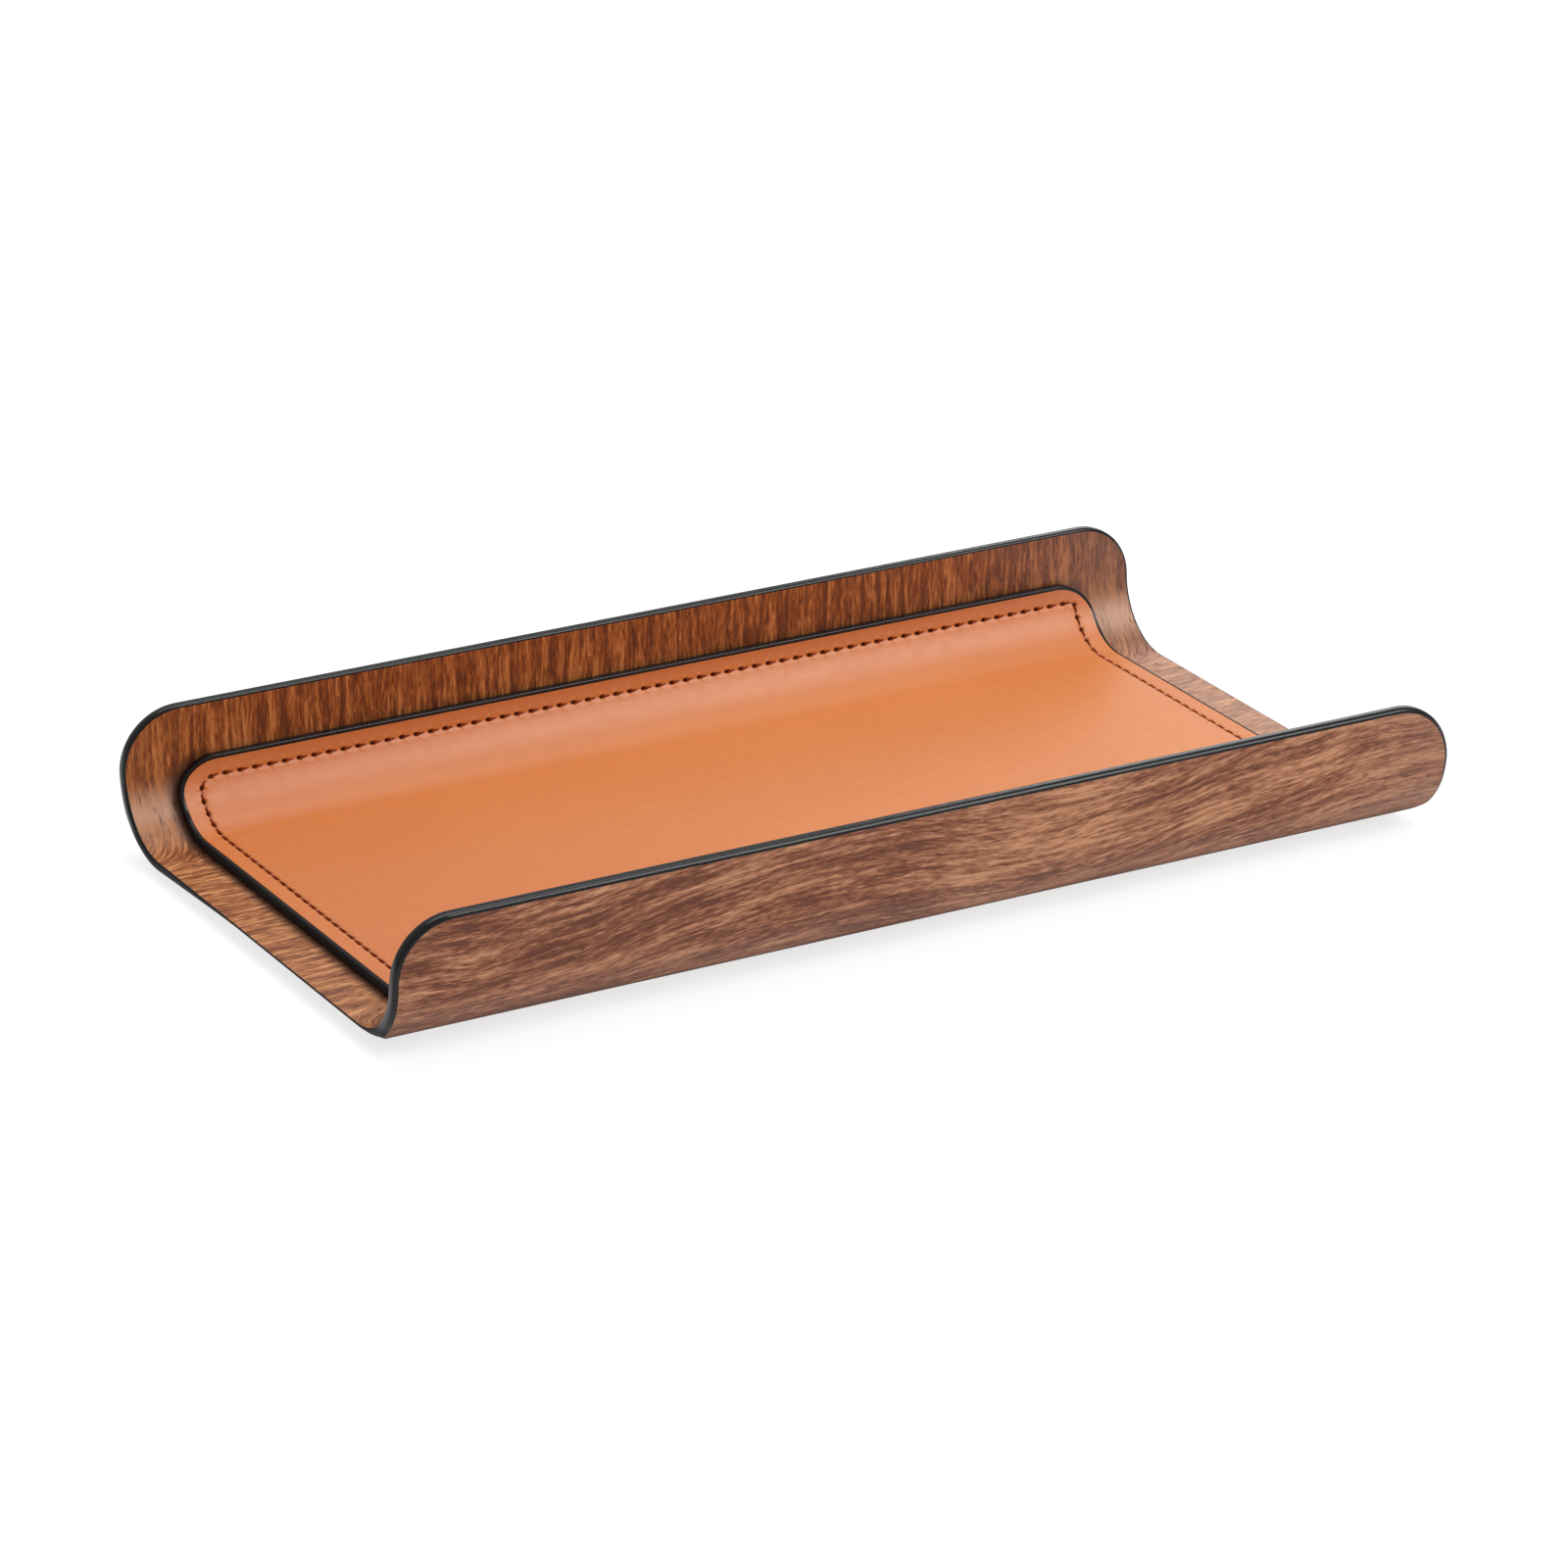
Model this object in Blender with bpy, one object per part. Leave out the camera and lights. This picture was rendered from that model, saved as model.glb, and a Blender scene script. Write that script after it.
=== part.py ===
"""Leather storage tray: a bent board with wood-grain skins, a rounded black edge and a stitched leather pad.

Every layer is cut out flat, as in the workshop, and all of them are then bent over the same form.
Flat pieces have X along the tray, Y across it, and Z as the height above the shell's inner face.
All lengths are in metres. The finished tray stands on the XY plane with its middle at the origin.
"""

import math

import bmesh
import bpy
from mathutils import Vector

# The bent shell
length = 0.300
floor_width = 0.112
bend_radius = 0.018
flange_height = 0.015
corner_radius = 0.016
core_thickness = 0.0016
skin_thickness = 0.0005
end_relief = 0.005
relief_rise = 0.006
relief_fade = 0.018
bend_angle = math.radians(90)

# The leather pad
pad_end_margin = 0.0135
pad_top_margin = 0.0142
pad_corner_radius = 0.0115
pad_edge_width = 0.0010
cover_thickness = 0.0010
board_thickness = 0.0007
adhesive_thickness = 0.0002
adhesive_inset = 0.0030
crown_height = 0.0006
crown_run = 0.012

# The seam
seam_inset = 0.0058
seam_corner_radius = 0.0025
thread_diameter = 0.0005
channel_radius = 0.0008
channel_depth = 0.0005

# The liner under the floor
liner_thickness = 0.0010
liner_margin = 0.0040
liner_corner_radius = 0.0050

# Touching pieces keep this gap, and meshes are welded and cut within this distance
fit_gap = 0.0003
weld_distance = 0.000001

# Counts and shares
bend_steps = 10
corner_steps = 8
seam_corner_steps = 4
fade_steps = 4
edge_steps = 8
crown_shares = (0.15, 0.45, 1.0)

# Sizes that follow from the ones above
shell_thickness = skin_thickness + fit_gap + core_thickness + fit_gap + skin_thickness
edge_radius = shell_thickness / 2
bend_run = bend_radius * bend_angle
half_length = length / 2
half_floor = floor_width / 2
half_run = half_floor + bend_run + flange_height
pad_half_length = half_length - pad_end_margin
pad_half_run = half_run - pad_top_margin
adhesive_bottom = fit_gap
board_bottom = adhesive_bottom + adhesive_thickness + fit_gap
cover_bottom = board_bottom + board_thickness + fit_gap
cover_top = cover_bottom + cover_thickness
seam_half_length = pad_half_length - seam_inset
seam_half_run = pad_half_run - seam_inset
inner_face_height = liner_thickness + fit_gap + shell_thickness


def new_collection(name):
    """A collection of this name, linked to the scene."""
    collection = bpy.data.collections.new(name)
    bpy.context.scene.collection.children.link(collection)
    return collection


def new_material(name, colour, roughness, metallic=0.0):
    """A Principled material with one colour, as linear red, green and blue."""
    material = bpy.data.materials.new(name)
    material.use_nodes = True
    shader = material.node_tree.nodes["Principled BSDF"]
    shader.inputs["Base Color"].default_value = (*colour, 1.0)
    shader.inputs["Roughness"].default_value = roughness
    shader.inputs["Metallic"].default_value = metallic
    return material


def rounded_outline(half_x, half_y, radius, steps):
    """The points of a rectangle with round corners, anticlockwise, with an arc at each corner."""
    points = []
    for quarter, (side_x, side_y) in enumerate(((1, 1), (-1, 1), (-1, -1), (1, -1))):
        centre = Vector((side_x * (half_x - radius), side_y * (half_y - radius), 0))
        for step in range(steps + 1):
            angle = math.pi / 2 * (quarter + step / steps)
            points.append(centre + radius * Vector((math.cos(angle), math.sin(angle), 0)))
    return points


def closed_curve(name, points):
    """A closed curve object of straight runs through the points."""
    curve = bpy.data.curves.new(name, "CURVE")
    curve.dimensions = "2D"
    spline = curve.splines.new("POLY")
    spline.points.add(len(points) - 1)
    for place, point in zip(spline.points, points):
        place.co = (*point, 1.0)
    spline.use_cyclic_u = True
    guide = bpy.data.objects.new(name, curve)
    guides.objects.link(guide)
    return guide


def flat_plate(name, outline, bottom, top):
    """A plate of this outline between two heights: a filled curve, extruded both ways."""
    guide = closed_curve(name + "_outline", outline)
    guide.data.fill_mode = "BOTH"
    guide.data.extrude = (top - bottom) / 2
    guide.location.z = (top + bottom) / 2
    return solid_from(guide, name, join_coplanar=True)


def edge_strip(name, half_x, half_y, radius, width, bottom, top):
    """A strip with a rounded outer side that follows the outline, between two heights."""
    middle = (top + bottom) / 2
    section = []
    for step in range(edge_steps + 1):
        angle = math.pi * (step / edge_steps - 1 / 2)
        section.append(Vector((-width * math.cos(angle), (top - middle) * math.sin(angle), 0)))
    profile = closed_curve(name + "_section", section)
    path = rounded_outline(half_x - width, half_y - width, radius - width, corner_steps)
    guide = closed_curve(name + "_path", path)
    guide.data.bevel_mode = "OBJECT"
    guide.data.bevel_object = profile
    guide.data.fill_mode = "NONE"
    guide.location.z = middle
    strip = solid_from(guide, name)
    hide_guide(profile)
    return strip


def round_loop(name, half_x, half_y, radius, tube_radius, height):
    """A closed round tube along a rounded rectangle at this height."""
    path = rounded_outline(half_x, half_y, radius, seam_corner_steps)
    guide = closed_curve(name + "_path", path)
    guide.data.bevel_depth = tube_radius
    guide.data.bevel_resolution = 1
    guide.data.fill_mode = "NONE"
    guide.location.z = height
    return solid_from(guide, name)


def hide_guide(guide):
    """Keeps a guide or cutter out of renders and shows it as a wire."""
    guide.hide_render = True
    guide.display_type = "WIRE"


def solid_from(guide, name, join_coplanar=False):
    """A closed mesh made of a curve, which is then removed."""
    graph = bpy.context.evaluated_depsgraph_get()
    mesh = bpy.data.meshes.new_from_object(guide.evaluated_get(graph))
    mesh.name = name
    mesh.transform(guide.matrix_world)
    bpy.data.objects.remove(guide)
    shape = bmesh.new()
    shape.from_mesh(mesh)
    bmesh.ops.remove_doubles(shape, verts=shape.verts, dist=weld_distance)
    if join_coplanar:
        bmesh.ops.dissolve_limit(shape, angle_limit=math.radians(1), verts=shape.verts, edges=shape.edges)
    bmesh.ops.recalc_face_normals(shape, faces=shape.faces)
    shape.to_mesh(mesh)
    shape.free()
    solid = bpy.data.objects.new(name, mesh)
    tray.objects.link(solid)
    return solid


def cut_away(solid, cutter):
    """Takes the cutter's shape out of the solid."""
    cut = solid.modifiers.new("channel", "BOOLEAN")
    cut.operation = "DIFFERENCE"
    cut.solver = "EXACT"
    cut.object = cutter
    graph = bpy.context.evaluated_depsgraph_get()
    solid.data = bpy.data.meshes.new_from_object(solid.evaluated_get(graph))
    solid.modifiers.clear()
    tray.objects.unlink(cutter)
    guides.objects.link(cutter)
    hide_guide(cutter)


def fold_lines():
    """The distances from the middle line at which every layer is cut so that it can bend."""
    lines = [half_floor + bend_run * step / bend_steps for step in range(bend_steps + 1)]
    fade_run = relief_fade - relief_rise
    lines += [half_floor - fade_run * step / fade_steps for step in range(1, fade_steps + 1)]
    return lines


def relief_at(run):
    """How far the underside is cut back at the tray's ends, at this distance from the middle line."""
    share = (half_floor + relief_rise - run) / relief_fade
    return end_relief * min(max(share, 0), 1)


def relieved(flat):
    """The underside slopes back at both ends of the floor, so that the edge there shows as a thin line."""
    if flat.z >= 0 or abs(flat.x) < half_length - end_relief:
        return flat
    back = relief_at(abs(flat.y)) * -flat.z / shell_thickness
    return Vector((math.copysign(abs(flat.x) - back, flat.x), flat.y, flat.z))


def crowned(flat):
    """The leather swells a little inside its seam."""
    inside = min(seam_half_length - abs(flat.x), seam_half_run - abs(flat.y))
    if flat.z < cover_top - weld_distance or inside <= 0:
        return flat
    share = min(inside / crown_run, 1)
    return Vector((flat.x, flat.y, flat.z + crown_height * (1 - (1 - share) ** 2)))


def formed(flat):
    """Where a point of the flat stack lies once the stack is bent over its form."""
    run = abs(flat.y)
    turn = min(max(run - half_floor, 0) / bend_radius, bend_angle)
    straight = max(run - half_floor - bend_run, 0)
    radius = bend_radius - flat.z
    across = min(run, half_floor) + radius * math.sin(turn) + straight * math.cos(turn)
    height = bend_radius - radius * math.cos(turn) + straight * math.sin(turn)
    return Vector((flat.x, math.copysign(across, flat.y), inner_face_height + height))


def cut_across(shape, axis, distance):
    """Cuts a shape at this distance on both sides of the middle of an axis."""
    for side in (-1, 1):
        place = Vector((0, 0, 0))
        place[axis] = side * distance
        normal = Vector((0, 0, 0))
        normal[axis] = 1
        parts = shape.verts[:] + shape.edges[:] + shape.faces[:]
        bmesh.ops.bisect_plane(shape, geom=parts, dist=weld_distance, plane_co=place, plane_no=normal)


def bend(solid, material, shaping=relieved, cross_cuts=()):
    """Bends a flat solid over the form and gives it its material."""
    shape = bmesh.new()
    shape.from_mesh(solid.data)
    for distance in fold_lines():
        cut_across(shape, 1, distance)
    for axis, distance in cross_cuts:
        cut_across(shape, axis, distance)
    for vertex in shape.verts:
        vertex.co = formed(shaping(vertex.co))
    bmesh.ops.triangulate(shape, faces=[face for face in shape.faces if len(face.verts) > 4])
    shape.to_mesh(solid.data)
    shape.free()
    solid.data.shade_smooth()
    solid.data.set_sharp_from_angle(angle=math.radians(30))
    solid.data.materials.clear()
    solid.data.materials.append(material)


def make_shell():
    """The bent board, its two skins and the black edge that closes them in."""
    black = new_material("black_edge", (0.012, 0.012, 0.013), 0.28)
    inner_wood = new_material("inner_wood", (0.30, 0.13, 0.06), 0.42)
    outer_wood = new_material("outer_wood", (0.27, 0.13, 0.08), 0.45)
    board = new_material("board", (0.45, 0.34, 0.22), 0.85)
    inset = edge_radius + fit_gap
    outline = rounded_outline(half_length - inset, half_run - inset, corner_radius - inset, corner_steps)
    outer_top = skin_thickness - shell_thickness
    core_bottom = outer_top + fit_gap
    core_top = core_bottom + core_thickness
    bend(flat_plate("outer_wood_skin", outline, -shell_thickness, outer_top), outer_wood)
    bend(flat_plate("shell_core", outline, core_bottom, core_top), board)
    bend(flat_plate("inner_wood_skin", outline, -skin_thickness, 0), inner_wood)
    edge = edge_strip("shell_edge", half_length, half_run, corner_radius, edge_radius, -shell_thickness, 0)
    bend(edge, black)


def make_pad():
    """The stitched leather pad: adhesive film, stiffening board, crowned cover, black edge and seam."""
    leather = new_material("tan_leather", (0.70, 0.26, 0.10), 0.45)
    black = new_material("pad_black_edge", (0.012, 0.012, 0.013), 0.30)
    fibre = new_material("fibre_board", (0.16, 0.12, 0.09), 0.9)
    glue = new_material("adhesive_film", (0.75, 0.72, 0.62), 0.5)
    brown = new_material("seam_thread", (0.10, 0.03, 0.012), 0.7)

    inset = pad_edge_width + fit_gap
    inner = (pad_half_length - inset, pad_half_run - inset, pad_corner_radius - inset, corner_steps)
    film_inset = pad_edge_width + adhesive_inset
    film = (pad_half_length - film_inset, pad_half_run - film_inset, pad_corner_radius - film_inset)
    adhesive_top = adhesive_bottom + adhesive_thickness
    film_outline = rounded_outline(*film, corner_steps)
    bend(flat_plate("pad_adhesive", film_outline, adhesive_bottom, adhesive_top), glue)
    board_top = board_bottom + board_thickness
    bend(flat_plate("pad_board", rounded_outline(*inner), board_bottom, board_top), fibre)

    cover = flat_plate("pad_cover", rounded_outline(*inner), cover_bottom, cover_top)
    seam = (seam_half_length, seam_half_run, seam_corner_radius)
    channel_height = cover_top + channel_radius - channel_depth
    cut_away(cover, round_loop("seam_channel", *seam, channel_radius, channel_height))
    cuts = [(0, seam_half_length - crown_run * share) for share in crown_shares]
    cuts += [(1, seam_half_run - crown_run * share) for share in crown_shares]
    bend(cover, leather, crowned, cuts)

    edge = edge_strip(
        "pad_edge",
        pad_half_length,
        pad_half_run,
        pad_corner_radius,
        pad_edge_width,
        adhesive_bottom,
        cover_top,
    )
    bend(edge, black)
    thread_height = cover_top - channel_depth + fit_gap + thread_diameter / 2
    bend(round_loop("seam_thread", *seam, thread_diameter / 2, thread_height), brown)


def make_liner():
    """The non-slip cloth under the flat floor, on which the tray stands."""
    cloth = new_material("liner_cloth", (0.03, 0.028, 0.026), 0.95)
    half_x = half_length - edge_radius - end_relief - liner_margin
    half_y = half_floor - liner_margin
    outline = rounded_outline(half_x, half_y, liner_corner_radius, corner_steps)
    top = -shell_thickness - fit_gap
    bend(flat_plate("base_liner", outline, top - liner_thickness, top), cloth)


for old in list(bpy.data.objects):
    bpy.data.objects.remove(old)
tray = new_collection("leather_storage_tray")
guides = new_collection("guides_and_cutters")
make_shell()
make_pad()
make_liner()
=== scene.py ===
# %% [markdown]
# # A leather storage tray
#
# The tray is one sheet of board, bent up along its two long sides. It has a wood-grain
# skin on each face, a rounded black edge all the way round, and a stitched leather pad.
# Its solids come from a construction model, which stays as it is. This script dresses
# them: it models the pieces that the eye meets in finer meshes, gives every surface its
# finish, and sets up a pale floor, soft light and the camera.

# %% Load the construction model
import math

import bpy
from mathutils import Matrix, Vector


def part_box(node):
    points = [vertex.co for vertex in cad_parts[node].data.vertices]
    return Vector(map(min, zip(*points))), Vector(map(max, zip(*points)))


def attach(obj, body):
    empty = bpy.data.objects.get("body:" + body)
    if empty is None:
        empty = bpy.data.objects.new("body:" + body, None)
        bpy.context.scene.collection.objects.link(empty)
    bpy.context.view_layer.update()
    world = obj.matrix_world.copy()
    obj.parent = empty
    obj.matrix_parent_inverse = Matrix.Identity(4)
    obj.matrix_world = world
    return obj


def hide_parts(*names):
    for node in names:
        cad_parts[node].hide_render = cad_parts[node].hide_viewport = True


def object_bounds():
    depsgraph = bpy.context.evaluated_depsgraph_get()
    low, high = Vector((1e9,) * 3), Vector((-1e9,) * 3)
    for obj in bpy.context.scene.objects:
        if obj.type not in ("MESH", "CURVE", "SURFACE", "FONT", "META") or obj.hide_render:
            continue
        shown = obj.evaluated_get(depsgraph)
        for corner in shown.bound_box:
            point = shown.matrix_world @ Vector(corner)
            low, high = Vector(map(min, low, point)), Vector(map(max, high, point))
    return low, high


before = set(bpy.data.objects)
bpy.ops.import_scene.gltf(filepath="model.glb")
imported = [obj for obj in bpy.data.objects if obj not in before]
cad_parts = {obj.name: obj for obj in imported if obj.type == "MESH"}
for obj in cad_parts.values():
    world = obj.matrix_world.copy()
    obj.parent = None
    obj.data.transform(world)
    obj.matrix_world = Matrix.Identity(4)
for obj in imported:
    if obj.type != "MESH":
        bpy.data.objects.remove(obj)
cad_low, cad_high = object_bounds()
print("construction nodes:", ", ".join(sorted(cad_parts)))

# %% [markdown]
# ## Sizes
#
# A few sizes drive the rest, and what they don't fix is read from the boxes of the
# construction nodes. Every layer of the tray is cut out flat and then bent over one
# form, so each point has a flat place: x along the tray, and run, the distance from its
# middle line measured over the bend. Heights are counted from the sheet's inner face.

# %% Read the tray's sizes
to_millimetres = 1000
quarter_turn = math.radians(90)
sheet_thickness = 0.0032
skin_thickness = 0.0005
bend_radius = 0.018
corner_radius = 0.016
bend_run = bend_radius * quarter_turn

half_length = cad_high.x
half_floor = cad_high.y - sheet_thickness - bend_radius
face_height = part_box("shell_edge")[0].z + sheet_thickness
flange_height = cad_high.z - face_height - bend_radius
half_run = half_floor + bend_run + flange_height
sheet_outline = (half_length, half_run, corner_radius)
print(f"flat sheet: {2 * half_length:.4f} x {2 * half_run:.4f} m, floor {2 * half_floor:.4f} m wide")

pad_top_margin = 0.0142
pad_corner_radius = 0.0115
pad_half_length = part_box("pad_edge")[1].x
pad_half_run = half_run - pad_top_margin
pad_outline = (pad_half_length, pad_half_run, pad_corner_radius)
print(f"flat pad: {2 * pad_half_length:.4f} x {2 * pad_half_run:.4f} m")

# %% [markdown]
# ## The camera
#
# A long lens stands far off, at the front left and a little above the tray, so that
# parallel edges hardly draw together. The lens is turned by less than half a degree,
# and the tray's middle lies a little under the picture's middle.

# %% Set up the camera
camera_azimuth = math.radians(-30.04)
camera_elevation = math.radians(22.249)
camera_roll = math.radians(0.42)
camera_distance = 1.685776
camera_rightward = -0.000555
camera_upward = 0.010721
lens_length = 152.31
view_reach = 20


def direction(azimuth, elevation):
    """The way from the tray to what stands there. Azimuth is counted from the front."""
    level = math.cos(elevation)
    return Vector((math.sin(azimuth) * level, -math.cos(azimuth) * level, math.sin(elevation)))


back = direction(camera_azimuth, camera_elevation)
level_right = (-back).cross(Vector((0, 0, 1))).normalized()
level_up = level_right.cross(-back)
right = level_right * math.cos(camera_roll) + level_up * math.sin(camera_roll)
up = level_up * math.cos(camera_roll) - level_right * math.sin(camera_roll)

camera = bpy.data.objects.new("camera", bpy.data.cameras.new("camera"))
bpy.context.scene.collection.objects.link(camera)
camera.data.lens = lens_length
camera.data.clip_end = view_reach
place = back * camera_distance + level_right * camera_rightward + level_up * camera_upward
camera.matrix_world = Matrix((right, up, back)).transposed().to_4x4()
camera.location = place + Vector((0, 0, face_height))
bpy.context.scene.camera = camera
print("camera at", tuple(round(value, 3) for value in camera.location))

# %% [markdown]
# ## Working by operators
#
# Operators act on what is selected, so each step starts by selecting one piece alone.
# In edit mode they act on the selected faces and edges. These short helpers keep that
# in one place. A cut is a bisect, which is given a tiny threshold because its default
# would drop cuts closer than a tenth of a millimetre.

# %% Helpers for modelling
cut_threshold = 1e-7
weld_distance = 2e-6


def work_on(piece):
    """Makes this piece the only one that operators act on."""
    if bpy.context.mode != "OBJECT":
        bpy.ops.object.mode_set(mode="OBJECT")
    bpy.ops.object.select_all(action="DESELECT")
    piece.select_set(True)
    bpy.context.view_layer.objects.active = piece


def edit(piece, select="SELECT"):
    """Goes into edit mode with all of this piece selected, or none of it."""
    work_on(piece)
    bpy.ops.object.mode_set(mode="EDIT")
    bpy.ops.mesh.select_mode(type="VERT")
    bpy.ops.mesh.select_all(action=select)


def select_only(piece, kind, choose):
    """In edit mode, selects just the edges or faces that a function chooses from the mesh."""
    bpy.ops.mesh.select_all(action="DESELECT")
    bpy.ops.object.mode_set(mode="OBJECT")
    for element in choose(piece.data):
        element.select = True
    bpy.ops.object.mode_set(mode="EDIT")
    bpy.ops.mesh.select_mode(type=kind)


def select_open_edges():
    """In edit mode, selects just the edges that a surface ends at."""
    bpy.ops.mesh.select_all(action="DESELECT")
    bpy.ops.mesh.select_mode(type="EDGE")
    bpy.ops.mesh.select_non_manifold()


def apply_modifier(piece, modifier):
    """Makes one modifier's result the piece's own mesh."""
    work_on(piece)
    bpy.ops.object.modifier_apply(modifier=modifier.name)


def modify(piece, kind, **settings):
    """Reshapes the piece by a modifier with these settings, which is applied at once."""
    modifier = piece.modifiers.new(kind, kind)
    for name, setting in settings.items():
        setattr(modifier, name, setting)
    apply_modifier(piece, modifier)


def cut_across(piece, axis, places, group=None):
    """Cuts the piece, or one vertex group of it, square to an axis at each of these places."""
    edit(piece, "DESELECT")
    normal = Vector((0, 0, 0))
    normal[axis] = 1
    for distance in places:
        if group:
            bpy.ops.mesh.select_all(action="DESELECT")
            piece.vertex_groups.active_index = group.index
            bpy.ops.object.vertex_group_select()
        else:
            bpy.ops.mesh.select_all(action="SELECT")
        bpy.ops.mesh.bisect(plane_co=normal * distance, plane_no=normal, threshold=cut_threshold)
    bpy.ops.object.mode_set(mode="OBJECT")


def both_sides(distances):
    """These distances, on both sides of the middle."""
    return [side * distance for distance in distances for side in (-1, 1)]


def spaced(half_size, spacing):
    """Evenly spaced places from one side to the other."""
    steps = round(2 * half_size / spacing)
    return [-half_size + 2 * half_size * step / steps for step in range(1, steps)]


def reshape(piece, shaping):
    """Moves every point of the piece to where the shaping puts it."""
    for vertex in piece.data.vertices:
        vertex.co = shaping(vertex.co)
    piece.data.update()


def rounded_sheet(name, outline, height, inset=0.0, corner_steps=16):
    """A flat face inside an outline of half lengths and a radius: a plane with bevelled corners."""
    half_x, half_y, radius = (size - inset for size in outline)
    bpy.ops.object.select_all(action="DESELECT")
    bpy.ops.mesh.primitive_plane_add(size=1, location=(0, 0, face_height + height))
    sheet = bpy.context.object
    sheet.name = name
    sheet.data.name = name
    sheet.scale = (2 * half_x, 2 * half_y, 1)
    bpy.ops.object.transform_apply(location=True, rotation=False, scale=True)
    edit(sheet)
    bpy.ops.mesh.bevel(offset=radius, segments=corner_steps, affect="VERTICES", clamp_overlap=False)
    bpy.ops.object.mode_set(mode="OBJECT")
    return sheet


def thicken(piece, thickness):
    """Gives a sheet its thickness, downwards from where it lies."""
    modify(piece, "SOLIDIFY", thickness=thickness, offset=-1)


def smooth(piece, angle=30):
    """Shades the piece smooth, with crisp edges where it turns by more than this angle."""
    work_on(piece)
    bpy.ops.object.shade_smooth_by_angle(angle=math.radians(angle))


# %% [markdown]
# ## One bend for every layer
#
# In the workshop all the layers are pressed over the same form. Blender's Simple Deform
# modifier does this in its Bend mode: between its two limits the piece follows a circle,
# and beyond them it goes on straight. The form is an empty at the start of the bend. Its
# X axis points outwards over the floor's edge and its Y axis up, so the circle's middle
# hangs one bend radius over the inner face. A layer that lies higher takes a tighter
# circle by itself, as real layers do.

# %% Bend a flat piece over the form
fold_steps = 30
fold_places = [half_floor + bend_run * step / fold_steps for step in range(fold_steps + 1)]


def bend_side(piece, side):
    """Bends what lies beyond the floor's edge on one side."""
    reach = [side * vertex.co.y - half_floor for vertex in piece.data.vertices]
    nearest, farthest = min(reach), max(reach)
    form = bpy.data.objects.new("bend_form", None)
    bpy.context.scene.collection.objects.link(form)
    axes = (Vector((0, side, 0)), Vector((0, 0, 1)), Vector((side, 0, 0)))
    form.matrix_world = Matrix(axes).transposed().to_4x4()
    form.location = (0, side * half_floor, face_height)
    bpy.context.view_layer.update()
    stop = min(bend_run, farthest)
    angle = quarter_turn * stop / bend_run
    limits = (-nearest / (farthest - nearest), (stop - nearest) / (farthest - nearest))
    bend = {"deform_method": "BEND", "deform_axis": "Z", "origin": form, "angle": angle, "limits": limits}
    modify(piece, "SIMPLE_DEFORM", **bend)
    bpy.data.objects.remove(form)


def bend_over_form(piece):
    """Bends a flat piece up along both long sides."""
    bend_side(piece, 1)
    bend_side(piece, -1)


# %% [markdown]
# The underside of the sheet slopes back at both ends of the floor, so that the black
# edge shows there as a thin line. At the front the slope fades out quickly within the
# bend, and at the back slowly, from the bend to the middle of the floor.

# %% Slope the underside back at the ends of the floor
end_relief = 0.0036
# Each side's slope ends this far past the floor's edge, and fades over this distance.
back_relief = (0.018, 0.064)
front_relief = (0.0125, 0.006)
fade_steps = 6
fade_places = [
    half_floor + rise - fade * step / fade_steps
    for rise, fade in (back_relief, front_relief)
    for step in range(1, fade_steps + 1)
]


def relieved(flat):
    """Where a point of the flat sheet lies once the underside is sloped back."""
    depth = (face_height - flat.z) / sheet_thickness
    if depth <= 0 or abs(flat.x) < half_length - end_relief:
        return flat
    rise, fade = back_relief if flat.y > 0 else front_relief
    share = (half_floor + rise - abs(flat.y)) / fade
    back_by = end_relief * min(max(share, 0), 1) * min(depth, 1)
    return Vector((math.copysign(abs(flat.x) - back_by, flat.x), flat.y, flat.z))


# %% [markdown]
# ## Writing materials as expressions
#
# A node tree reads better as a formula. `Value` wraps one output of a node, and plain
# arithmetic on it adds Math nodes. `Finish` holds one material: its `node` method adds
# any other node from its type, its settings and what its sockets are fed with.

# %% Two small classes for materials


class Value:
    """One output of a node, which takes part in plain arithmetic."""

    def __init__(self, finish, socket):
        self.finish = finish
        self.socket = socket

    def __add__(self, other):
        return self.finish.maths("ADD", self, other)

    __radd__ = __add__

    def __sub__(self, other):
        return self.finish.maths("SUBTRACT", self, other)

    def __rsub__(self, other):
        return self.finish.maths("SUBTRACT", other, self)

    def __mul__(self, other):
        return self.finish.maths("MULTIPLY", self, other)

    __rmul__ = __mul__

    def __truediv__(self, other):
        return self.finish.maths("DIVIDE", self, other)


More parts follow.
